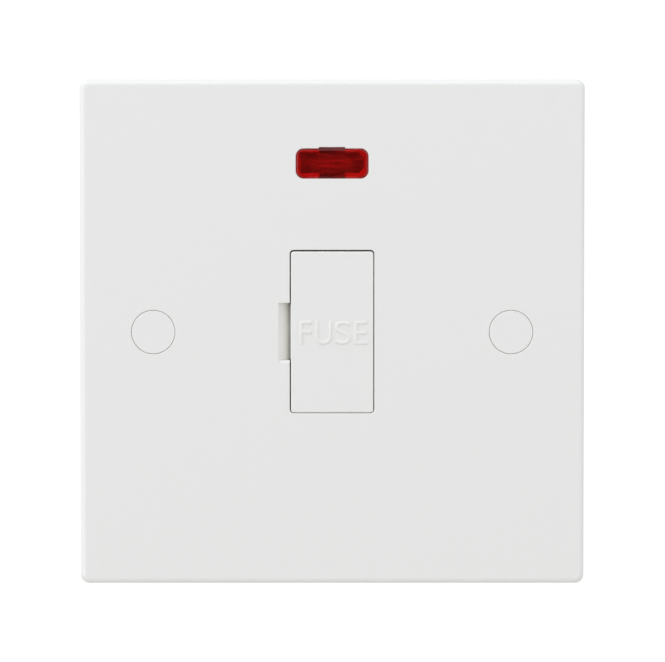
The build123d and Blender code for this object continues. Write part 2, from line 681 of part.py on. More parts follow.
# Pillar terminals: brass blocks with a wire bore and a tapped hole from the back
terminals = (
    ("supply_neutral_terminal", LEFT, TOP),
    ("supply_earth_terminal", 0, TOP),
    ("supply_live_terminal", RIGHT, TOP),
    ("load_neutral_terminal", LEFT, BOTTOM),
    ("load_earth_terminal", 0, BOTTOM),
    ("load_live_terminal", RIGHT, BOTTOM),
)
for name, side, end in terminals:
    with BuildPart() as terminal:
        with BuildSketch(wall_plane(strip_rear)):
            with Locations((side * bay_pitch, end * terminal_z)):
                Rectangle(TERMINAL_W, TERMINAL_L)
        extrude(amount=-TERMINAL_DEPTH)
        chamfer(terminal.edges().filter_by(Axis.Y), TERMINAL_EDGE)
        with BuildSketch(plan_plane(end * terminal_z)):
            with Locations((side * bay_pitch, wire_bore_height)):
                Circle(WIRE_BORE_D / 2)
        extrude(amount=TERMINAL_L / 2, both=True, mode=Mode.SUBTRACT)
        with BuildSketch(wall_plane(terminal_rear)):
            with Locations((side * bay_pitch, end * terminal_z)):
                Circle((CLAMP_D + CLAMP_CLEAR) / 2)
        extrude(amount=wire_bore_height - terminal_rear, mode=Mode.SUBTRACT)
    write(terminal, name)

# Terminal screws: backed out so that the wire bores are clear
with BuildPart() as terminal_screws:
    with BuildSketch(wall_plane(terminal_rear - CLAMP_STANDOFF)):
        with GridLocations(bay_pitch, 2 * terminal_z, 3, 2):
            Circle(CLAMP_HEAD_D / 2)
    extrude(amount=-CLAMP_HEAD_H)
    chamfer(terminal_screws.faces().group_by(Axis.Y)[-1].edges(), HEAD_EDGE)
    with BuildSketch(wall_plane(terminal_rear - CLAMP_STANDOFF - CLAMP_HEAD_H)):
        with GridLocations(bay_pitch, 2 * terminal_z, 3, 2):
            Rectangle(DRIVER_SLOT_W, CLAMP_HEAD_D)
    extrude(amount=DRIVER_SLOT_DEPTH, mode=Mode.SUBTRACT)
    with BuildSketch(wall_plane(terminal_rear - CLAMP_STANDOFF)):
        with GridLocations(bay_pitch, 2 * terminal_z, 3, 2):
            Circle(CLAMP_D / 2)
    extrude(amount=wire_bore_height - WIRE_BORE_D / 2 - CLAMP_TIP_GAP - terminal_rear + CLAMP_STANDOFF)

write(terminal_screws, "terminal_screws")

# Neon lens: clear flange on the window's seat, with a sprung leg above and below
with BuildPart() as neon_lens:
    with BuildSketch(wall_plane(lens_front)):
        with Locations((0, NEON_Z)):
            RectangleRounded(LENS_W, LENS_H, LENS_CORNER_R)
    extrude(amount=-LENS_T)
    fillet(neon_lens.faces().sort_by(Axis.Y)[0].edges(), LENS_EDGE_R)
    for end in (TOP, BOTTOM):
        with BuildSketch(side_plane(0)):
            leg_face = NEON_Z + end * LENS_H / 2
            catch = skin_back - LEG_CATCH_GAP
            leg_end = skin_back - LEG_REACH
            with BuildLine():
                Polyline(
                    (lens_seat, leg_face),
                    (catch, leg_face),
                    (catch, leg_face + end * LEG_BARB),
                    (leg_end, leg_face),
                    (leg_end, leg_face - end * LEG_T),
                    (lens_seat, leg_face - end * LEG_T),
                    close=True,
                )
            make_face()
        extrude(amount=LEG_W / 2, both=True)

write(neon_lens, "neon_lens")

# Neon lamp: glass tube with a rounded tip, its two wires at the other end
with BuildPart() as neon_lamp:
    with BuildSketch(side_plane(0)):
        with Locations((lamp_height, NEON_Z)):
            Circle(LAMP_D / 2)
    extrude(amount=LAMP_L / 2, both=True)
    fillet(neon_lamp.faces().sort_by(Axis.X)[0].edges(), LAMP_TIP_R)

write(neon_lamp, "neon_lamp")

# Resistor in the live lead
resistor_top = NEON_Z - RESISTOR_DROP

with BuildPart() as neon_resistor:
    with BuildSketch(plan_plane(resistor_top)):
        with Locations((strip_x, lamp_height)):
            Circle(RESISTOR_D / 2)
    extrude(amount=RESISTOR_L)
    fillet(neon_resistor.edges(), RESISTOR_EDGE_R)

write(neon_resistor, "neon_resistor")

# Lamp wires, each a round wire with eased bends
upper_wire = NEON_Z + WIRE_PITCH / 2
lower_wire = NEON_Z - WIRE_PITCH / 2
lamp_end = LAMP_L / 2
wire_routes = {
    "neon_link_wire": (
        point(lamp_end, lamp_height, upper_wire),
        point(strip_x, lamp_height, upper_wire),
        point(strip_x, lamp_height, resistor_top),
    ),
    "neon_live_lead": (
        point(strip_x, lamp_height, resistor_top - RESISTOR_L),
        point(strip_x, lamp_height, -wire_hole_z),
        point(strip_x, floor_rear, -wire_hole_z),
    ),
    "neon_neutral_lead": (
        point(lamp_end, lamp_height, lower_wire),
        point(lamp_end + WIRE_TURN, lamp_height, lower_wire),
        point(lamp_end + WIRE_TURN, lamp_height, NEON_Z - WIRE_DROP),
        point(-strip_x, lamp_height, NEON_Z - WIRE_DROP),
        point(-strip_x, lamp_height, wire_hole_z),
        point(-strip_x, floor_rear, wire_hole_z),
    ),
}
for name, route in wire_routes.items():
    with BuildPart() as wire:
        with BuildLine() as path:
            FilletPolyline(*route, radius=WIRE_BEND_R)
        with BuildSketch(Plane(origin=path.line @ 0, z_dir=path.line % 0)):
            Circle(WIRE_D / 2)
        sweep()
    write(wire, name)
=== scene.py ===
"""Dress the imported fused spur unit.

It gets finishes, raised marks, threaded screws, a lamp behind its lens, and a studio round it.
"""
import logging
import math
from abc import ABC, abstractmethod
from collections.abc import Callable, Iterable, Iterator
from contextlib import contextmanager
from dataclasses import dataclass, field
from enum import Enum

import bmesh
import bpy
from mathutils import Matrix, Vector


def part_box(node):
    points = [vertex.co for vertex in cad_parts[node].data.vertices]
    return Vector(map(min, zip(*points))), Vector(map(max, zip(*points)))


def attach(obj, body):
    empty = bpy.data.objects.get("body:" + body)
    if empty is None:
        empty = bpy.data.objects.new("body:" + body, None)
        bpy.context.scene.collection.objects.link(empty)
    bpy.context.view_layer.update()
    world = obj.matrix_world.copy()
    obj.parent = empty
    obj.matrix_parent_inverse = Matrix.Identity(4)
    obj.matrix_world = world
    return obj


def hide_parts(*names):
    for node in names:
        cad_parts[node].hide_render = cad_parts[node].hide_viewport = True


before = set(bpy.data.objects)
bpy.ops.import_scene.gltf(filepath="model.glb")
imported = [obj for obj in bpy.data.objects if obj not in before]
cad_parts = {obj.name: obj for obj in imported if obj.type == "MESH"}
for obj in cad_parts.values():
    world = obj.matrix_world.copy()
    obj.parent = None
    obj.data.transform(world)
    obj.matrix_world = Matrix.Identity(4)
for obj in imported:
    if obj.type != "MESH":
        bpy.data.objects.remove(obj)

MM = 0.001
QUARTER_TURN = math.radians(90)
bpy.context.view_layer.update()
RIGHT = Vector((1, 0, 0)).freeze()
INTO_WALL = Vector((0, 1, 0)).freeze()
UP = Vector((0, 0, 1)).freeze()
# A face looks a way, or squarely that way, when more than this share of its normal lies along it
ALONG = 0.9
SQUARELY = 0.99
# Points nearer to each other than this are one point
WELD = 0.001 * MM
# Numbers of the lowest and highest corner in an object's bound box
LOWEST, HIGHEST = 0, 6
# Noise of a fine pattern, such as grain, and of a broad one, such as a ripple
FINE_NOISE = {"Detail": 4.0, "Roughness": 0.6}
BROAD_NOISE = {"Detail": 2.0}
ROWS = ("supply", "load")
POLES = ("live", "neutral", "earth")
TERMINALS = tuple(f"{row}_{pole}_terminal" for row in ROWS for pole in POLES)

log = logging.getLogger("fused_spur")


class Body(Enum):
    """Rigid bodies that a new piece can ride on."""

    UNIT = "unit"
    CARRIER = "carrier"


class Slot(Enum):
    """Material slots of the record, named for the finishes of new pieces."""

    UREA = "urea_white"
    BASE = "base_white"
    STEEL = "screw_steel"
    GLASS = "lamp_glass"
    LENS = "lens_red"
    NICKEL = "fuse_metal"


class Facing(Enum):
    """Which way a mark or a screw head looks."""

    ROOM = -1
    WALL = 1


class Drive(Enum):
    """Recess that the screwdriver fits."""

    SLOT = "slot"
    CROSS = "cross"


# Finishes


def linear(hex_colour: str) -> tuple[float, float, float, float]:
    """Turn an sRGB hex colour into linear RGBA, by the curve that defines sRGB."""
    channels = [int(hex_colour[i:i + 2], 16) / 255 for i in (1, 3, 5)]
    return (*[c / 12.92 if c <= 0.04045 else ((c + 0.055) / 1.055) ** 2.4 for c in channels], 1.0)


def per_mm(size_mm: float) -> float:
    """Texture scale on Object coordinates for a pattern of that size in millimetres."""
    return 1.0 / (size_mm * MM)


def add_node(
    tree: bpy.types.NodeTree,
    kind: str,
    sockets: dict[str | int, object] | None = None,
    links: dict[str | int, tuple[bpy.types.Node, str]] | None = None,
    **settings: object,
) -> bpy.types.Node:
    """Add one node with its settings, socket values and incoming links.

    Args:
        tree: Node tree to add to.
        kind: Blender's node type name.
        sockets: Values for input sockets, by the socket's name or number.
        links: Incoming links, from a socket's name or number to a node and its output's name.
        **settings: Attributes of the node itself.

    Returns:
        The new node.
    """
    node = tree.nodes.new(kind)
    for name, value in settings.items():
        setattr(node, name, value)
    for name, value in (sockets or {}).items():
        node.inputs[name].default_value = value
    for name, (source, output) in (links or {}).items():
        tree.links.new(source.outputs[output], node.inputs[name])
    return node


def set_ramp(node: bpy.types.Node, stops: list[tuple[float, str]]) -> None:
    """Give a colour ramp its stops.

    Args:
        node: The colour ramp node.
        stops: Position and sRGB hex colour of each stop, in order.
    """
    elements = node.color_ramp.elements
    while len(elements) < len(stops):
        elements.new(1.0)
    for element, (position, colour) in zip(elements, stops):
        element.position = position
        element.color = linear(colour)


@dataclass(frozen=True, kw_only=True)
class Finish(ABC):
    """A surface finish that makes one material."""

    name: str
    roughness: tuple[float, float]

    def material(self) -> bpy.types.Material:
        """Build the material.

        Returns:
            The material, with this finish's shader on the piece's own coordinates.
        """
        material = bpy.data.materials.new(self.name)
        material.use_nodes = True
        tree = material.node_tree
        tree.nodes.clear()
        shader = self.shader(tree, add_node(tree, "ShaderNodeTexCoord"))
        add_node(tree, "ShaderNodeOutputMaterial", links={"Surface": (shader, "BSDF")})
        return material

    @abstractmethod
    def shader(self, tree: bpy.types.NodeTree, place: bpy.types.Node) -> bpy.types.Node:
        """Add this finish's nodes.

        Args:
            tree: The material's node tree.
            place: Its Texture Coordinate node.

        Returns:
            The shader.
        """


@dataclass(frozen=True, kw_only=True)
class Opaque(Finish):
    """Plastic, ceramic or lacquer: a speckled gloss, and the ripple that its mould or coat left."""

    speckle_mm: float
    ripple_mm: float
    ripple_depth_mm: float
    ior: float = 1.55

    @abstractmethod
    def colour(
        self, tree: bpy.types.NodeTree, place: bpy.types.Node, speckle: bpy.types.Node
    ) -> bpy.types.Node:
        """Add the colour's nodes.

        Args:
            tree: The material's node tree.
            place: Its Texture Coordinate node.
            speckle: The noise that the gloss follows.

        Returns:
            The colour ramp of the surface.
        """

    def shader(self, tree: bpy.types.NodeTree, place: bpy.types.Node) -> bpy.types.Node:
        """Add the colour, the gloss and the ripple.

        Args:
            tree: The material's node tree.
            place: Its Texture Coordinate node.

        Returns:
            The shader.
        """
        speckle = add_node(
            tree, "ShaderNodeTexNoise",
            sockets={"Scale": per_mm(self.speckle_mm), **FINE_NOISE},
            links={"Vector": (place, "Object")},
        )
        gloss = add_node(
            tree, "ShaderNodeMapRange",
            sockets={"To Min": self.roughness[0], "To Max": self.roughness[1]},
            links={"Value": (speckle, "Fac")},
        )
        ripple = add_node(
            tree, "ShaderNodeTexNoise",
            sockets={"Scale": per_mm(self.ripple_mm), **BROAD_NOISE},
            links={"Vector": (place, "Object")},
        )
        bump = add_node(
            tree, "ShaderNodeBump",
            sockets={"Strength": 1.0, "Distance": self.ripple_depth_mm * MM},
            links={"Height": (ripple, "Fac")},
        )
        return add_node(
            tree, "ShaderNodeBsdfPrincipled",
            sockets={"IOR": self.ior},
            links={
                "Base Color": (self.colour(tree, place, speckle), "Color"),
                "Roughness": (gloss, "Result"),
                "Normal": (bump, "Normal"),
            },
        )


@dataclass(frozen=True, kw_only=True)
class Moulded(Opaque):
    """Moulded or fired body of near one colour, with the speckle of its filler.

    The blend gives the speckle's level where the colour is all dark, and where it is all light.
    """

    light: str
    dark: str
    blend: tuple[float, float] = (0.35, 0.65)

    def colour(
        self, tree: bpy.types.NodeTree, place: bpy.types.Node, speckle: bpy.types.Node
    ) -> bpy.types.Node:
        """Colour the body by its speckle.

        Args:
            tree: The material's node tree.
            place: Its Texture Coordinate node.
            speckle: The noise that the gloss follows.

        Returns:
            The colour ramp of the body.
        """
        body = add_node(tree, "ShaderNodeValToRGB", links={"Fac": (speckle, "Fac")})
        set_ramp(body, list(zip(self.blend, (self.dark, self.light))))
        return body


@dataclass(frozen=True, kw_only=True)
class BandedLacquer(Opaque):
    """Lacquer with painted bands across a part that stands upright.

    Each band has its start and end, as shares of the span, and its colour.
    """

    ground: str
    bands: tuple[tuple[float, float, str], ...]
    span_mm: tuple[float, float]

    def colour(
        self, tree: bpy.types.NodeTree, place: bpy.types.Node, speckle: bpy.types.Node
    ) -> bpy.types.Node:
        """Paint the bands by height.

        Args:
            tree: The material's node tree.
            place: Its Texture Coordinate node.
            speckle: The noise that the gloss follows.

        Returns:
            The colour ramp of the bands.
        """
        low, high = self.span_mm
        axes = add_node(tree, "ShaderNodeSeparateXYZ", links={"Vector": (place, "Object")})
        along = add_node(
            tree, "ShaderNodeMapRange",
            sockets={"From Min": low * MM, "From Max": high * MM},
            links={"Value": (axes, "Z")},
        )
        paint = add_node(tree, "ShaderNodeValToRGB", links={"Fac": (along, "Result")})
        paint.color_ramp.interpolation = "CONSTANT"
        stops = [(0.0, self.ground)]
        for start, end, colour in self.bands:
            stops += [(start, colour), (end, self.ground)]
        set_ramp(paint, stops)
        return paint


@dataclass(frozen=True, kw_only=True)
class Clear(Finish):
    """Clear plastic or glass, which colours the light that passes through it."""

    dye: str
    clarity: float
    ior: float
    flow_mm: float
    flow_depth_mm: float = 0.004
    cover: float = 1.0

    def shader(self, tree: bpy.types.NodeTree, place: bpy.types.Node) -> bpy.types.Node:
        """Add the gloss and the ripple that the melt's flow left.

        Args:
            tree: The material's node tree.
            place: Its Texture Coordinate node.

        Returns:
            The shader.
        """
        flow = add_node(
            tree, "ShaderNodeTexNoise",
            sockets={"Scale": per_mm(self.flow_mm), **BROAD_NOISE},
            links={"Vector": (place, "Object")},
        )
        bump = add_node(
            tree, "ShaderNodeBump",
            sockets={"Strength": 1.0, "Distance": self.flow_depth_mm * MM},
            links={"Height": (flow, "Fac")},
        )
        gloss = add_node(
            tree, "ShaderNodeMapRange",
            sockets={"To Min": self.roughness[0], "To Max": self.roughness[1]},
            links={"Value": (flow, "Fac")},
        )
        return add_node(
            tree, "ShaderNodeBsdfPrincipled",
            sockets={
                "Base Color": linear(self.dye),
                "IOR": self.ior,
                "Transmission Weight": self.clarity,
                "Alpha": self.cover,
            },
            links={"Roughness": (gloss, "Result"), "Normal": (bump, "Normal")},
        )


@dataclass(frozen=True, kw_only=True)
class Metal(Finish):
    """Bare or plated metal with fine lines from drawing, rolling or turning.

    The blend gives the lines' level where the colour is all dark, and where it is all light.
    """

    light: str
    dark: str
    line_mm: float
    stretch: tuple[float, float, float] = (1.0, 1.0, 1.0)
    blend: tuple[float, float] = (0.3, 0.7)
    line_strength: float = 0.4
    line_depth_mm: float = 0.01

    def shader(self, tree: bpy.types.NodeTree, place: bpy.types.Node) -> bpy.types.Node:
        """Add the lines, with their colour, gloss and depth.

        Args:
            tree: The material's node tree.
            place: Its Texture Coordinate node.

        Returns:
            The shader.
        """
        along = add_node(
            tree, "ShaderNodeMapping",
            sockets={"Scale": self.stretch},
            links={"Vector": (place, "Object")},
        )
        lines = add_node(
            tree, "ShaderNodeTexNoise",
            sockets={"Scale": per_mm(self.line_mm), **FINE_NOISE},
            links={"Vector": (along, "Vector")},
        )
        colour = add_node(tree, "ShaderNodeValToRGB", links={"Fac": (lines, "Fac")})
        set_ramp(colour, list(zip(self.blend, (self.dark, self.light))))
        gloss = add_node(
            tree, "ShaderNodeMapRange",
            sockets={"To Min": self.roughness[0], "To Max": self.roughness[1]},
            links={"Value": (lines, "Fac")},
        )
        bump = add_node(
            tree, "ShaderNodeBump",
            sockets={"Strength": self.line_strength, "Distance": self.line_depth_mm * MM},
            links={"Height": (lines, "Fac")},
        )
        return add_node(
            tree, "ShaderNodeBsdfPrincipled",
            sockets={"Metallic": 1.0},
            links={
                "Base Color": (colour, "Color"),
                "Roughness": (gloss, "Result"),
                "Normal": (bump, "Normal"),
            },
        )


# Urea formaldehyde, moulded against a polished tool: a clean white that warms in its corners,
# with a soft gloss
UREA_WHITE = Moulded(
    name="moulded_urea_white", light="#efede5", dark="#eeece4", roughness=(0.27, 0.33),
    speckle_mm=0.6, ripple_mm=1.1, ripple_depth_mm=0.001,
)
# Polyamide, moulded in a spark-eroded tool: a duller, warmer white with a fine even grain
POLYAMIDE_WHITE = Moulded(
    name="moulded_polyamide_white", light="#e8e6df", dark="#e4e1d9", roughness=(0.45, 0.6),
    speckle_mm=0.9, ripple_mm=0.3, ripple_depth_mm=0.012, ior=1.53,
)
# Glazed steatite of the fuse's barrel: hard off-white with a slight gloss
STEATITE = Moulded(
    name="glazed_steatite", light="#f0ede4", dark="#e2ddd0", roughness=(0.22, 0.36),
    speckle_mm=1.4, ripple_mm=0.4, ripple_depth_mm=0.006, ior=1.6,
)
# Lacquered resistor: a tan body with painted bands across it
RESISTOR_LACQUER = BandedLacquer(
    name="lacquered_resistor", ground="#c2a077", roughness=(0.35, 0.5),
    bands=(
        (0.16, 0.26, "#b08d3c"), (0.4, 0.5, "#d4a017"),
        (0.58, 0.68, "#6b3a1e"), (0.76, 0.86, "#5a2f18"),
    ),
    span_mm=(20.58, 25.58), speckle_mm=1.0, ripple_mm=0.3, ripple_depth_mm=0.01,
)
# PVC sleeving of the lamp wires: soft, dull and slightly waxy
PVC_SLEEVE = Moulded(
    name="extruded_pvc_sleeve", light="#d9d9d6", dark="#cdccc8", roughness=(0.4, 0.52),
    speckle_mm=0.8, ripple_mm=0.3, ripple_depth_mm=0.01, ior=1.53,
)
# Acrylic dyed red: clear with a slight haze, so the seat behind it shows as a brighter rim
LENS_RED = Clear(
    name="dyed_acrylic_red", dye="#ff3a32", clarity=0.955, roughness=(0.03, 0.07), ior=1.47,
    flow_mm=1.6,
)
# Soda glass of the lamp, a thin wall that is nearly all see-through: only its gloss shows
LAMP_GLASS = Clear(
    name="drawn_soda_glass", dye="#ffffff", clarity=0.0, roughness=(0.01, 0.03), ior=1.52,
    flow_mm=2.5, cover=0.24,
)
# Drawn brass bar of the terminals: bright yellow, with the die's lines along the bar, which are
# drawn coarser so that they show
BRASS = Metal(
    name="drawn_brass_bar", light="#e6c67c", dark="#d4ae60", roughness=(0.18, 0.28),
    line_mm=2.4, stretch=(8.0, 8.0, 1.0),
)
# Rolled phosphor bronze of the strips and clips: redder, with the lines of the rolls, which are
# drawn coarser so that they show
BRONZE = Metal(
    name="rolled_phosphor_bronze", light="#d79f69", dark="#c38a55", roughness=(0.22, 0.34),
    line_mm=2.4, stretch=(8.0, 8.0, 1.0),
)
# Nickel plate on the fuse caps and the lamp's electrodes: warm grey and bright
NICKEL = Metal(
    name="plated_nickel", light="#d2cdc5", dark="#c2bdb5", roughness=(0.14, 0.24), line_mm=0.9,
)
# Zinc plate on the steel screws: cool grey with a slight bloom
ZINC_STEEL = Metal(
    name="zinc_plated_steel", light="#cdd0d1", dark="#b8bcbe", roughness=(0.24, 0.36), line_mm=0.5,
)

NODE_FINISHES: dict[str, Finish] = {
    "faceplate": UREA_WHITE,
    "fuse_carrier": UREA_WHITE,
    "screw_cap_left": UREA_WHITE,
    "screw_cap_right": UREA_WHITE,
    "base": POLYAMIDE_WHITE,
    "rear_cover": POLYAMIDE_WHITE,
    "neon_lens": LENS_RED,
    "fuse_barrel": STEATITE,
    "fuse_end_cap_upper": NICKEL,
    "fuse_end_cap_lower": NICKEL,
    "supply_live_contact": BRONZE,
    "load_live_contact": BRONZE,
    "neutral_link": BRONZE,
    "earth_strap": BRONZE,
    **dict.fromkeys(TERMINALS, BRASS),
    "terminal_screws": ZINC_STEEL,
    "housing_screws": ZINC_STEEL,
    "fixing_screws": ZINC_STEEL,
    "neon_lamp": LAMP_GLASS,
    "neon_resistor": RESISTOR_LACQUER,
    "neon_link_wire": PVC_SLEEVE,
    "neon_live_lead": PVC_SLEEVE,
    "neon_neutral_lead": PVC_SLEEVE,
}


@dataclass
class Dressing:
    """Puts one shared material per finish on the CAD nodes and on new pieces."""

    made: dict[str, bpy.types.Material] = field(default_factory=dict)

    def dress(self, piece: bpy.types.Object, finish: Finish) -> None:
        """Give a piece one finish all over.

        Args:
            piece: The object to dress.
            finish: Its finish, built as a material the first time it is used.
        """
        if finish.name not in self.made:
            self.made[finish.name] = finish.material()
        piece.data.materials.clear()
        piece.data.materials.append(self.made[finish.name])

    def dress_nodes(self) -> None:
        """Dress every CAD node with its finish."""
        for name, finish in NODE_FINISHES.items():
            self.dress(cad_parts[name], finish)
            log.info("dressed %s with %s", name, finish.name)

    def hand_over(self, piece: bpy.types.Object, finish: Finish, body: Body, slot: Slot) -> None:
        """Dress a finished new piece and let it ride on its body.

        Args:
            piece: The finished object, with its place in its mesh.
            finish: Its finish.
            body: The body that it moves with.
            slot: The record's slot of its finish; not used.
        """
        self.dress(piece, finish)
        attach(piece, body.value)
        log.info("built %s on %s", piece.name, body.value)


# Modelling by hand


def begin() -> None:
    """Deselect everything before a primitive is added."""
    bpy.ops.object.select_all(action="DESELECT")


def choose(*pieces: bpy.types.Object) -> None:
    """Select these pieces alone, with the first one active.

    Args:
        *pieces: The objects to select.
    """
    begin()
    for piece in pieces:
        piece.select_set(True)
    bpy.context.view_layer.objects.active = pieces[0]


def settle(piece: bpy.types.Object) -> None:
    """Apply a piece's place, turn and scale to its mesh."""
    choose(piece)
    bpy.ops.object.transform_apply(location=True, rotation=True, scale=True)


@contextmanager
def editing(piece: bpy.types.Object) -> Iterator[None]:
    """Hold a piece in edit mode.

    Args:
        piece: The object to edit.

    Yields:
        Nothing; edit mode ends with the block.
    """
    bpy.context.view_layer.objects.active = piece
    bpy.ops.object.mode_set(mode="EDIT")
    yield
    bpy.ops.object.mode_set(mode="OBJECT")


def looks(*ways: Vector, share: float = ALONG) -> Callable[[bmesh.types.BMFace], bool]:
    """Make a test for faces with more than a share of their normal along one of some ways."""
    return lambda face: any(face.normal.dot(way) > share for way in ways)


def pick_faces(piece: bpy.types.Object, wanted: Callable[[bmesh.types.BMFace], bool]) -> None:
    """Select the faces of a piece in edit mode that pass a test.

    Args:
        piece: The object in edit mode.
        wanted: Test of a face by its place or normal.
    """
    bpy.ops.mesh.select_mode(type="FACE")
    bpy.ops.mesh.select_all(action="DESELECT")
    mesh = bmesh.from_edit_mesh(piece.data)
    for face in mesh.faces:
        face.select_set(wanted(face))
    bmesh.update_edit_mesh(piece.data)


def pick_vertices(piece: bpy.types.Object, wanted: Callable[[bmesh.types.BMVert], bool]) -> None:
    """Select the vertices of a piece in edit mode that pass a test.

    Args:
        piece: The object in edit mode.
        wanted: Test of a vertex by its place.
    """
    bpy.ops.mesh.select_mode(type="VERT")
    bpy.ops.mesh.select_all(action="DESELECT")
    mesh = bmesh.from_edit_mesh(piece.data)
    for vertex in mesh.verts:
        vertex.select_set(wanted(vertex))
    mesh.select_flush(True)
    bmesh.update_edit_mesh(piece.data)


def push(step: Vector | tuple[float, float, float]) -> None:
    """Extrude the selected faces by a step in metres."""
    bpy.ops.mesh.extrude_region_move(TRANSFORM_OT_translate={"value": step})


def weld(distance: float) -> None:
    """Merge all points of the piece in edit mode that are nearer to each other than a distance."""
    bpy.ops.mesh.select_all(action="SELECT")
    bpy.ops.mesh.remove_doubles(threshold=distance)


def apply_modifier(piece: bpy.types.Object, kind: str, **settings: object) -> None:
    """Add a modifier to a piece and apply it.

    Args:
        piece: The object to change.
        kind: Blender's modifier type name.
        **settings: Attributes of the modifier.
    """
    modifier = piece.modifiers.new(kind.lower(), kind)
    for name, value in settings.items():
        setattr(modifier, name, value)
    choose(piece)
    bpy.ops.object.modifier_apply(modifier=modifier.name)


def combine(piece: bpy.types.Object, other: bpy.types.Object, operation: str) -> None:
    """Cut one piece with another, or join them, by a boolean operation, and delete the other."""
    apply_modifier(piece, "BOOLEAN", object=other, operation=operation, solver="EXACT")
    bpy.data.objects.remove(other)


def smooth(piece: bpy.types.Object, angle_deg: float = 35.0) -> None:
    """Shade a piece smooth, with edges sharper than an angle left crisp."""
    choose(piece)
    bpy.ops.object.shade_smooth_by_angle(angle=math.radians(angle_deg))


def set_out(
    first: bpy.types.Object, name: str, places: Iterable[Matrix]
) -> list[bpy.types.Object]:
    """Set a copy of a piece, with its own mesh, in every place, and delete the first.

    Args:
        first: The finished piece, at the origin.
        name: Name of the copies, which get a number after it.
        places: Where each copy goes.

    Returns:
        The copies.
    """
    made = []
    for number, place in enumerate(places, start=1):
        piece = first.copy()
        piece.data = first.data.copy()
        piece.name = f"{name}_{number}"
        bpy.context.scene.collection.objects.link(piece)
        piece.data.transform(place)
        made.append(piece)
    bpy.data.objects.remove(first)
    return made


@dataclass(frozen=True)
class RaisedText:
    """Letters moulded proud of a flat face, in the plain built-in font.

    Thinning, edge, body and merge are in the font's own units.
    """

    height_mm: float
    relief_mm: float
    sunk_mm: float
    thinning: float = 0.0
    edge: float = 0.02
    edge_steps: int = 2
    body: float = 0.02
    merge: float = 1e-4

    def build(
        self, name: str, text: str, centre: Vector, facing: Facing, width_mm: float | None = None
    ) -> bpy.types.Object:
        """Model the letters on a face.

        Args:
            name: Name of the piece.
            text: The letters.
            centre: Middle of the letters on the face, in metres.
            facing: Which way the face looks.
            width_mm: Width of the letters, or None for the font's own.

        Returns:
            The finished mesh.
        """
        begin()
        bpy.ops.object.text_add()
        letters = bpy.context.active_object
        letters.name = name
        letters.data.body = text
        letters.data.offset = -self.thinning
        letters.data.extrude = self.body
        letters.data.bevel_depth = self.edge
        letters.data.bevel_resolution = self.edge_steps
        bpy.ops.object.convert(target="MESH")
        letters = bpy.context.active_object
        with editing(letters):
            weld(self.merge)
            bpy.ops.mesh.normals_make_consistent(inside=False)
        letters.data.transform(self.place(letters, centre, facing, width_mm))
        smooth(letters)
        return letters

    def place(
        self, letters: bpy.types.Object, centre: Vector, facing: Facing, width_mm: float | None
    ) -> Matrix:
        """Work out how the letters go from the font's plane to their face.

        Args:
            letters: The letters as the font gives them.
            centre: Middle of the letters on the face, in metres.
            facing: Which way the face looks.
            width_mm: Width of the letters, or None for the font's own.

        Returns:
            The letters' size, stand and place.
        """
        low, high = (Vector(letters.bound_box[corner]) for corner in (LOWEST, HIGHEST))
        size = high - low
        middle = (high + low) / 2
        tall = self.height_mm * MM / size.y
        wide = width_mm * MM / size.x if width_mm else tall
        deep = (self.relief_mm + self.sunk_mm) * MM
        place = centre.copy()
        place.y += facing.value * (self.relief_mm - self.sunk_mm) / 2 * MM
        stand = Matrix.Rotation(QUARTER_TURN, 4, "X")
        if facing is Facing.WALL:
            stand = Matrix.Rotation(2 * QUARTER_TURN, 4, "Z") @ stand
        scale = Matrix.Diagonal((wide, tall, deep / size.z, 1.0))
        return Matrix.Translation(place) @ stand @ scale @ Matrix.Translation(-middle)


# Sub-assemblies


@dataclass
class CarrierLegend:
    """The plain function word raised on the face of the fuse carrier.

    Each letter has its place across the face and its width.
    """

    dressing: Dressing
    letters_mm: tuple[tuple[str, float, float], ...] = (
        ("F", -4.49, 2.12), ("U", -1.46, 2.78), ("S", 1.77, 2.76), ("E", 4.83, 2.33),
    )
    drop_mm: float = 0.085
    style: RaisedText = RaisedText(
        height_mm=3.98, relief_mm=0.16, sunk_mm=0.37, thinning=0.024, edge=0.028,
    )

    def build(self) -> None:
        """Model the word and let it ride on the carrier."""
        low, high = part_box("fuse_carrier")
        height = (low.z + high.z) / 2 - self.drop_mm * MM
        letters = [
            self.style.build(
                "carrier_legend", letter, Vector((x * MM, low.y, height)), Facing.ROOM, width
            )
            for letter, x, width in self.letters_mm
        ]
        choose(*letters)
        bpy.ops.object.join()
        self.dressing.hand_over(letters[0], UREA_WHITE, Body.CARRIER, Slot.UREA)


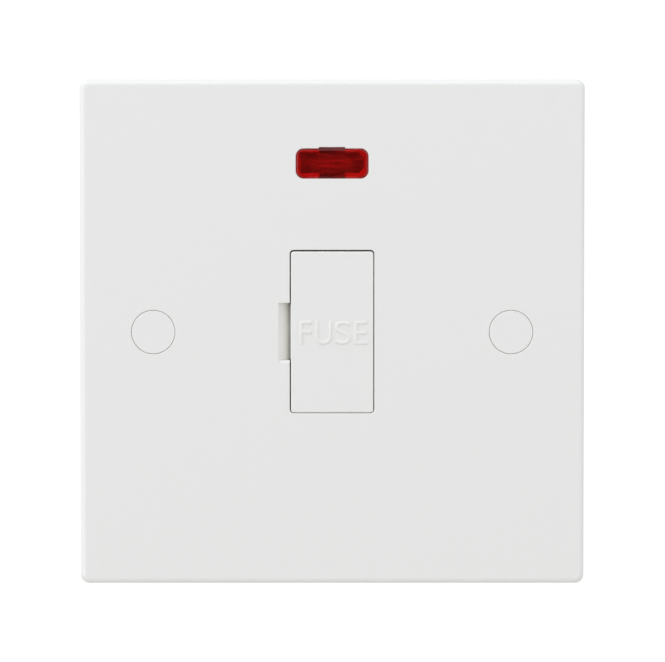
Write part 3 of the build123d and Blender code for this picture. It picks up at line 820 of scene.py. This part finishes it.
@dataclass
class CoverMarks:
    """Terminal letters and the moulding's own marks on the back of the rear cover."""

    dressing: Dressing
    letters: RaisedText = RaisedText(height_mm=2.6, relief_mm=0.25, sunk_mm=0.1)
    letter_z_mm: float = 18.4
    ejector_d_mm: float = 4.0
    ejector_sides: int = 40
    ejector_at_mm: float = 9.5
    ejector_relief_mm: float = 0.12
    ejector_rim_mm: float = 0.35
    sunk_mm: float = 0.1

    def build(self) -> None:
        """Model every mark on the cover."""
        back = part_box("rear_cover")[1].y
        for row, side in zip(ROWS, (1, -1)):
            for pole in POLES:
                low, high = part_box(f"{row}_{pole}_terminal")
                centre = Vector(((low.x + high.x) / 2, back, side * self.letter_z_mm * MM))
                letter = pole[0].upper()
                mark = self.letters.build(f"mark_{row}_{pole}", letter, centre, Facing.WALL)
                self.dressing.hand_over(mark, POLYAMIDE_WHITE, Body.UNIT, Slot.BASE)
        self.ejector_marks(back)

    def ejector_marks(self, back: float) -> None:
        """Model the round marks, each a shallow dish, that the mould's ejector pins left.

        Args:
            back: Y of the cover's back face, in metres.
        """
        begin()
        bpy.ops.mesh.primitive_cylinder_add(
            vertices=self.ejector_sides, radius=self.ejector_d_mm / 2 * MM,
            depth=(self.ejector_relief_mm + self.sunk_mm) * MM, rotation=(QUARTER_TURN, 0, 0),
        )
        first = bpy.context.active_object
        settle(first)
        with editing(first):
            pick_faces(first, looks(INTO_WALL))
            bpy.ops.mesh.inset(thickness=self.ejector_rim_mm * MM)
            push((0, -self.ejector_relief_mm / 2 * MM, 0))
        smooth(first)
        out = self.ejector_at_mm * MM
        y = back + (self.ejector_relief_mm - self.sunk_mm) / 2 * MM
        places = [Matrix.Translation((x * out, y, z * out)) for z in (-1, 1) for x in (-1, 1)]
        for mark in set_out(first, "ejector_mark", places):
            self.dressing.hand_over(mark, POLYAMIDE_WHITE, Body.UNIT, Slot.BASE)


@dataclass
class ScrewSet:
    """Identical screws, modelled once and copied, that stand for one CAD node.

    The thread's profile gives, for each stretch of one pitch, whether it climbs (1), runs level
    (0) or falls (-1), and its share of the pitch. Each step of the tip's taper gives how many
    pitches up it starts, and the share of the width that it leaves below there.
    """

    dressing: Dressing
    node: str
    piece: str
    places_mm: tuple[tuple[float, float], ...]
    turns_deg: tuple[float, ...]
    seat_mm: float
    facing: Facing
    head_d_mm: float
    head_h_mm: float
    neck_d_mm: float
    neck_l_mm: float
    thread_d_mm: float
    pitch_mm: float
    length_mm: float
    drive: Drive = Drive.SLOT
    slot_w_mm: float = 1.0
    slot_depth_mm: float = 1.2
    cross_share: float = 0.62
    cross_taper: float = 0.6
    dome_mm: float = 0.8
    dome_steps: int = 5
    head_sides: int = 56
    turn_steps: int = 24
    depth_share: float = 0.61
    profile: tuple[tuple[int, float], ...] = ((0, 0.25), (1, 0.3125), (0, 0.125), (-1, 0.3125))
    start_pitches: float = 1.37
    spare_turns: int = 3
    tip_taper: tuple[tuple[float, float], ...] = ((1.6, 0.95), (0.8, 0.9))

    def build(self) -> None:
        """Model one screw and set a copy in every place."""
        first = self.head()
        self.cut_recess(first)
        combine(first, self.thread(), "UNION")
        with editing(first):
            weld(WELD)
        smooth(first)
        for screw in set_out(first, self.piece, self.places()):
            self.dressing.hand_over(screw, ZINC_STEEL, Body.UNIT, Slot.STEEL)
            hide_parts(self.node)

    def places(self) -> Iterator[Matrix]:
        """Work out where each screw goes.

        Yields:
            The stand, turn and place of one screw.
        """
        stand = Matrix.Rotation(-self.facing.value * QUARTER_TURN, 4, "X")
        for (x, z), turn_deg in zip(self.places_mm, self.turns_deg, strict=True):
            place = Matrix.Translation((x * MM, self.seat_mm * MM, z * MM))
            yield place @ stand @ Matrix.Rotation(math.radians(turn_deg), 4, "Z")

    def head(self) -> bpy.types.Object:
        """Model the pan head on its neck, underside at the origin and the head up.

        Returns:
            The head and neck.
        """
        begin()
        bpy.ops.mesh.primitive_cylinder_add(
            vertices=self.head_sides, radius=self.head_d_mm / 2 * MM, depth=self.head_h_mm * MM,
            location=(0, 0, self.head_h_mm / 2 * MM),
        )
        head = bpy.context.active_object
        head.name = self.piece
        settle(head)
        with editing(head):
            pick_faces(head, looks(UP))
            bpy.ops.mesh.bevel(
                offset=self.dome_mm * MM, segments=self.dome_steps, affect="EDGES"
            )
            pick_faces(head, looks(-UP))
            bpy.ops.mesh.inset(thickness=(self.head_d_mm - self.neck_d_mm) / 2 * MM)
            push((0, 0, -self.neck_l_mm * MM))
        return head

    def cut_recess(self, head: bpy.types.Object) -> None:
        """Cut the driver's recess into the head.

        Args:
            head: The screw's head.
        """
        begin()
        wide = self.slot_w_mm * MM
        reach = self.head_d_mm * MM
        top = self.head_h_mm * MM
        bpy.ops.mesh.primitive_cube_add(size=1, location=(0, 0, top))
        cutter = bpy.context.active_object
        cutter.scale = (wide, wide, 2 * self.slot_depth_mm * MM)
        settle(cutter)
        crossed = self.drive is Drive.CROSS
        arm = (reach * self.cross_share - wide) / 2 if crossed else reach
        with editing(cutter):
            for axis in (RIGHT, INTO_WALL) if crossed else (RIGHT,):
                across = Vector((axis.y, axis.x, 0))
                for way in (-axis, axis):
                    pick_faces(
                        cutter,
                        lambda face: looks(way)(face)
                        and abs(face.calc_center_median().dot(across)) < wide / 2,
                    )
                    push(way * arm)
            if crossed:
                pick_vertices(cutter, lambda vertex: vertex.co.z < top)
                bpy.ops.transform.resize(
                    value=(self.cross_taper, self.cross_taper, 1), center_override=(0, 0, top)
                )
        combine(head, cutter, "DIFFERENCE")

    def thread(self) -> bpy.types.Object:
        """Wind one pitch of the thread's profile down the axis and cut it square at both ends.

        Returns:
            The closed shank.
        """
        pitch = self.pitch_mm * MM
        crest = self.thread_d_mm / 2 * MM
        root = crest - self.depth_share * pitch
        top = -(self.neck_l_mm - self.pitch_mm / 2) * MM
        tip = -self.length_mm * MM
        seed, near, exact = pitch / 10, pitch / 200, pitch / 1000
        begin()
        bpy.ops.mesh.primitive_plane_add(
            size=seed, location=(root, 0, tip - self.start_pitches * pitch)
        )
        shank = bpy.context.active_object
        settle(shank)
        with editing(shank):
            bpy.ops.mesh.select_mode(type="VERT")
            bpy.ops.mesh.select_all(action="SELECT")
            bpy.ops.mesh.merge(type="CENTER")
            for out, along in self.profile:
                bpy.ops.mesh.extrude_vertices_move(
                    TRANSFORM_OT_translate={"value": (out * (crest - root), 0, along * pitch)}
                )
        apply_modifier(
            shank, "SCREW", axis="Z", screw_offset=pitch,
            iterations=math.ceil((top - tip) / pitch) + self.spare_turns,
            steps=self.turn_steps, render_steps=self.turn_steps,
            use_merge_vertices=True, merge_threshold=exact,
        )
        with editing(shank):
            weld(near)
            for end, keep in ((tip, UP), (top, -UP)):
                bpy.ops.mesh.select_all(action="SELECT")
                bpy.ops.mesh.bisect(
                    plane_co=(0, 0, end), plane_no=keep, use_fill=True, clear_inner=True,
                    threshold=exact,
                )
            for rise, share in self.tip_taper:
                pick_vertices(shank, lambda vertex: vertex.co.z < tip + rise * pitch)
                bpy.ops.transform.resize(value=(share, share, 1), center_override=(0, 0, tip))
            bpy.ops.mesh.select_all(action="SELECT")
            bpy.ops.mesh.normals_make_consistent(inside=False)
        return shank


@dataclass
class NeonLens:
    """The red lens, set a hair in front of its seat so that light passes between them."""

    dressing: Dressing
    air_mm: float = 0.04
    thickness_mm: float = 1.4
    seat_reach_mm: float = 0.01
    flange_h_mm: float = 4.9
    shoulder_w_mm: float = 4.2
    shoulder_rise_mm: float = 0.26
    shoulder_root_mm: float = 0.3
    shoulder_from_mm: float = 0.05
    shoulder_to_mm: float = 2.4
    shoulder_edge_mm: float = 0.08
    shoulder_edge_steps: int = 2

    def build(self) -> None:
        """Copy the CAD lens, lift its back off the seat and add the shoulder of its upper leg."""
        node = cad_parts["neon_lens"]
        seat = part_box("neon_lens")[0].y + self.thickness_mm * MM
        lens = bpy.data.objects.new("lens_insert", node.data.copy())
        bpy.context.scene.collection.objects.link(lens)
        choose(lens)
        with editing(lens):
            bpy.ops.mesh.select_mode(type="VERT")
            weld(WELD)
            pick_vertices(lens, lambda vertex: abs(vertex.co.y - seat) < self.seat_reach_mm * MM)
            bpy.ops.transform.translate(value=(0, -self.air_mm * MM, 0))
        combine(lens, self.shoulder(), "UNION")
        smooth(lens)
        self.dressing.hand_over(lens, LENS_RED, Body.UNIT, Slot.LENS)
        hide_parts("neon_lens")

    def shoulder(self) -> bpy.types.Object:
        """Model the shoulder of the upper leg, which shows in the slot above the lens.

        Returns:
            The shoulder, rooted in the flange.
        """
        low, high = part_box("neon_lens")
        top = (low.z + high.z) / 2 + (self.flange_h_mm / 2 + self.shoulder_rise_mm) * MM
        tall = (self.shoulder_rise_mm + self.shoulder_root_mm) * MM
        deep = (self.shoulder_to_mm - self.shoulder_from_mm) * MM
        begin()
        bpy.ops.mesh.primitive_cube_add(
            size=1, location=(0, low.y + self.shoulder_from_mm * MM + deep / 2, top - tall / 2)
        )
        block = bpy.context.active_object
        block.scale = (self.shoulder_w_mm * MM, deep, tall)
        settle(block)
        with editing(block):
            pick_faces(block, looks(UP))
            bpy.ops.mesh.bevel(
                offset=self.shoulder_edge_mm * MM, segments=self.shoulder_edge_steps,
                affect="EDGES",
            )
        return block


@dataclass
class NeonLamp:
    """Hollow glass lamp with its two electrodes, behind the lens."""

    dressing: Dressing
    sides: int = 48
    seal_mm: float = 2.2
    seal_flat: float = 0.5
    seal_width: float = 0.9
    wall_mm: float = 0.4
    tip_mm: float = 1.4
    tip_steps: int = 6
    rod_d_mm: float = 0.8
    rod_sides: int = 24
    rod_edge_mm: float = 0.15
    rod_edge_steps: int = 3
    rod_pitch_mm: float = 1.4
    rod_from_mm: float = -2.9
    rod_to_mm: float = 2.4
    lead_d_mm: float = 0.4

    def build(self) -> None:
        """Model the envelope and the electrodes where the CAD lamp is."""
        low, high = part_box("neon_lamp")
        centre = (low + high) / 2
        envelope = self.envelope(low, high, centre)
        self.dressing.hand_over(envelope, LAMP_GLASS, Body.UNIT, Slot.GLASS)
        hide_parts("neon_lamp")
        for name, side in (("upper", 1), ("lower", -1)):
            rod = self.electrode(centre + Vector((0, 0, side * self.rod_pitch_mm / 2 * MM)))
            rod.name = f"lamp_electrode_{name}"
            self.dressing.hand_over(rod, NICKEL, Body.UNIT, Slot.NICKEL)

    def envelope(self, low: Vector, high: Vector, centre: Vector) -> bpy.types.Object:
        """Model the glass tube with its rounded tip and pinched seal.

        Args:
            low: Lowest corner of the CAD lamp.
            high: Highest corner of the CAD lamp.
            centre: Middle of the CAD lamp.

        Returns:
            The hollow glass.
        """
        seal = self.seal_mm * MM
        tube = high.x - low.x - seal
        begin()
        bpy.ops.mesh.primitive_cylinder_add(
            vertices=self.sides, radius=(high.z - low.z) / 2, depth=tube,
            location=(low.x + tube / 2, centre.y, centre.z), rotation=(0, QUARTER_TURN, 0),
        )
        glass = bpy.context.active_object
        glass.name = "lamp_envelope"
        settle(glass)
        with editing(glass):
            pick_faces(glass, looks(-RIGHT))
            bpy.ops.mesh.bevel(offset=self.tip_mm * MM, segments=self.tip_steps, affect="EDGES")
            pick_faces(glass, looks(RIGHT))
            push((seal / 2, 0, 0))
            bpy.ops.transform.resize(
                value=(1, self.seal_flat, self.seal_width), center_override=centre
            )
            push((seal / 2, 0, 0))
        apply_modifier(glass, "SOLIDIFY", thickness=self.wall_mm * MM, offset=-1.0)
        smooth(glass)
        return glass

    def electrode(self, centre: Vector) -> bpy.types.Object:
        """Model a round rod with eased ends, and a thinner lead into the seal.

        Args:
            centre: A point on the rod's axis.

        Returns:
            The rod.
        """
        start = centre.x + self.rod_from_mm * MM
        length = (self.rod_to_mm - self.rod_from_mm) * MM
        begin()
        bpy.ops.mesh.primitive_cylinder_add(
            vertices=self.rod_sides, radius=self.rod_d_mm / 2 * MM, depth=length,
            location=(start + length / 2, centre.y, centre.z), rotation=(0, QUARTER_TURN, 0),
        )
        rod = bpy.context.active_object
        settle(rod)
        with editing(rod):
            pick_faces(rod, looks(-RIGHT, RIGHT))
            bpy.ops.mesh.bevel(
                offset=self.rod_edge_mm * MM, segments=self.rod_edge_steps, affect="EDGES"
            )
            pick_faces(rod, looks(RIGHT, share=SQUARELY))
            bpy.ops.mesh.inset(
                thickness=(self.rod_d_mm / 2 - self.rod_edge_mm - self.lead_d_mm / 2) * MM
            )
            push(((self.seal_mm - self.wall_mm) / 2 * MM, 0, 0))
        smooth(rod)
        return rod


@dataclass(frozen=True)
class Softbox:
    """One soft light aimed at the unit."""

    name: str
    place_m: tuple[float, float, float]
    size_m: tuple[float, float]
    power_w: float

    def build(self, colour: str) -> None:
        """Add the light.

        Args:
            colour: Its sRGB hex colour.
        """
        data = bpy.data.lights.new(self.name, "AREA")
        data.shape = "RECTANGLE"
        data.size, data.size_y = self.size_m
        data.energy = self.power_w
        data.color = linear(colour)[:3]
        light = bpy.data.objects.new(self.name, data)
        light.location = self.place_m
        light.rotation_euler = (-Vector(self.place_m)).to_track_quat("-Z", "Y").to_euler()
        bpy.context.scene.collection.objects.link(light)


@dataclass
class Studio:
    """Camera, a white surround that is dark behind the camera, two softboxes and a pale floor."""

    distance_m: float = 0.65
    elevation_deg: float = 2.6
    frame_width_mm: float = 112.05
    aim_x_mm: float = 0.06
    aim_z_mm: float = 0.195
    clip_start_m: float = 0.01
    light_colour: str = "#f3f6ff"
    surround_level: float = 0.947
    from_above: float = 0.094
    from_left: float = 0.115
    from_front: float = 0.22
    dark_from: float = 0.94
    dark_to: float = 0.985
    dark_level: float = 0.03
    seen_colour: str = "#ffffff"
    seen_level: float = 1.05
    floor_drop_mm: float = 300.0
    floor_size_mm: float = 1400.0
    floor_colour: str = "#d8d6cf"
    floor_roughness: float = 0.8
    softboxes: tuple[Softbox, ...] = (
        Softbox("overhead_softbox", place_m=(-0.1, -0.35, 0.9), size_m=(1.4, 0.7), power_w=1.89),
        Softbox("left_softbox", place_m=(-0.9, -0.45, 0.15), size_m=(0.7, 0.9), power_w=1.36),
    )

    def build(self) -> None:
        """Set up the whole studio."""
        self.camera()
        self.surround()
        self.floor()
        for softbox in self.softboxes:
            softbox.build(self.light_colour)
        bpy.context.scene.view_settings.view_transform = "Standard"

    def camera(self) -> None:
        """Place the camera at the photograph's viewing angle."""
        face_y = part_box("faceplate")[0].y
        target = Vector((self.aim_x_mm * MM, face_y, self.aim_z_mm * MM))
        tilt = math.radians(self.elevation_deg)
        offset = Vector((0.0, -math.cos(tilt), math.sin(tilt))) * self.distance_m
        data = bpy.data.cameras.new("camera")
        data.sensor_fit = "HORIZONTAL"
        data.lens = data.sensor_width * self.distance_m / (self.frame_width_mm * MM)
        data.clip_start = self.clip_start_m
        camera = bpy.data.objects.new("camera", data)
        camera.location = target + offset
        camera.rotation_euler = (-offset).to_track_quat("-Z", "Y").to_euler()
        bpy.context.scene.collection.objects.link(camera)
        bpy.context.scene.camera = camera

    def surround(self) -> None:
        """Make the surround: white to the eye, and as a light a soft dome, dark at the camera."""
        world = bpy.data.worlds.new("white_surround")
        bpy.context.scene.world = world
        world.use_nodes = True
        tree = world.node_tree
        tree.nodes.clear()
        way = add_node(tree, "ShaderNodeTexCoord")
        lean = add_node(
            tree, "ShaderNodeVectorMath", operation="DOT_PRODUCT",
            sockets={1: (-self.from_left, -self.from_front, self.from_above)},
            links={0: (way, "Generated")},
        )
        dome = add_node(
            tree, "ShaderNodeMath", operation="ADD",
            sockets={1: self.surround_level}, links={0: (lean, "Value")},
        )
        front = add_node(
            tree, "ShaderNodeVectorMath", operation="DOT_PRODUCT",
            sockets={1: -INTO_WALL}, links={0: (way, "Generated")},
        )
        patch = add_node(
            tree, "ShaderNodeMapRange", interpolation_type="SMOOTHSTEP",
            sockets={
                "From Min": self.dark_from, "From Max": self.dark_to,
                "To Min": 1.0, "To Max": self.dark_level,
            },
            links={"Value": (front, "Value")},
        )
        level = add_node(
            tree, "ShaderNodeMath", operation="MULTIPLY",
            links={0: (dome, "Value"), 1: (patch, "Result")},
        )
        light = add_node(
            tree, "ShaderNodeBackground",
            sockets={"Color": linear(self.light_colour)}, links={"Strength": (level, "Value")},
        )
        seen = add_node(
            tree, "ShaderNodeBackground",
            sockets={"Color": linear(self.seen_colour), "Strength": self.seen_level},
        )
        path = add_node(tree, "ShaderNodeLightPath")
        both = add_node(
            tree, "ShaderNodeMixShader",
            links={0: (path, "Is Camera Ray"), 1: (light, "Background"), 2: (seen, "Background")},
        )
        add_node(tree, "ShaderNodeOutputWorld", links={"Surface": (both, "Shader")})

    def floor(self) -> None:
        """Lay a pale floor below the unit."""
        begin()
        bpy.ops.mesh.primitive_plane_add(
            size=self.floor_size_mm * MM, location=(0, 0, -self.floor_drop_mm * MM)
        )
        floor = bpy.context.active_object
        floor.name = "floor"
        material = bpy.data.materials.new("pale_floor")
        material.use_nodes = True
        shader = material.node_tree.nodes["Principled BSDF"]
        shader.inputs["Base Color"].default_value = linear(self.floor_colour)
        shader.inputs["Roughness"].default_value = self.floor_roughness
        floor.data.materials.append(material)


def middle_mm(node: str, decimals: int = 4) -> tuple[float, float]:
    """Find the middle of a CAD node, seen from the room.

    Args:
        node: The node's name.
        decimals: How finely it is rounded.

    Returns:
        Its X and Z in millimetres.
    """
    low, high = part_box(node)
    x, z = (low.x + high.x) / 2 / MM, (low.z + high.z) / 2 / MM
    return round(x, decimals), round(z, decimals)


def screw_sets(
    dressing: Dressing, fixing_centres_mm: float = 60.3, housing_head_mm: float = 5.2
) -> list[ScrewSet]:
    """List the three kinds of screw in the unit.

    Args:
        dressing: Where the screws get their finish.
        fixing_centres_mm: How far apart the two fixing screws are.
        housing_head_mm: Diameter of a housing screw's head.

    Returns:
        The sets, each standing for its CAD node.
    """
    fixing_x = fixing_centres_mm / 2
    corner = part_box("housing_screws")[1] / MM
    across = corner.x - housing_head_mm / 2
    up = corner.z - housing_head_mm / 2
    return [
        ScrewSet(
            dressing, node="fixing_screws", piece="fixing_screw",
            places_mm=((-fixing_x, 0.0), (fixing_x, 0.0)), turns_deg=(25.0, -40.0),
            seat_mm=-3.8, facing=Facing.ROOM, head_d_mm=6.2, head_h_mm=2.2,
            neck_d_mm=3.0, neck_l_mm=4.0, thread_d_mm=3.5, pitch_mm=0.6, length_mm=25.0,
        ),
        ScrewSet(
            dressing, node="terminal_screws", piece="terminal_screw",
            places_mm=tuple(middle_mm(terminal) for terminal in sorted(TERMINALS)),
            turns_deg=(90.0, 78.0, 105.0, 84.0, 96.0, 110.0),
            seat_mm=13.6, facing=Facing.WALL, head_d_mm=5.6, head_h_mm=2.4,
            neck_d_mm=2.8, neck_l_mm=0.4, thread_d_mm=3.5, pitch_mm=0.6, length_mm=4.4,
        ),
        ScrewSet(
            dressing, node="housing_screws", piece="housing_screw",
            places_mm=tuple((x * across, z * up) for z in (-1, 1) for x in (-1, 1)),
            turns_deg=(10.0, 33.0, -20.0, 48.0),
            seat_mm=12.1, facing=Facing.WALL, head_d_mm=housing_head_mm, head_h_mm=1.9,
            neck_d_mm=2.4, neck_l_mm=0.6, thread_d_mm=2.9, pitch_mm=1.1, length_mm=14.0,
            drive=Drive.CROSS, slot_w_mm=0.9, slot_depth_mm=1.3,
        ),
    ]


def main() -> None:
    """Build every piece, dress the nodes and set up the studio."""
    logging.basicConfig(level=logging.INFO, format="%(name)s: %(message)s")
    dressing = Dressing()
    dressing.dress_nodes()
    CarrierLegend(dressing).build()
    CoverMarks(dressing).build()
    for screws in screw_sets(dressing):
        screws.build()
    NeonLens(dressing).build()
    NeonLamp(dressing).build()
    Studio().build()


if __name__ == "__main__":
    main()
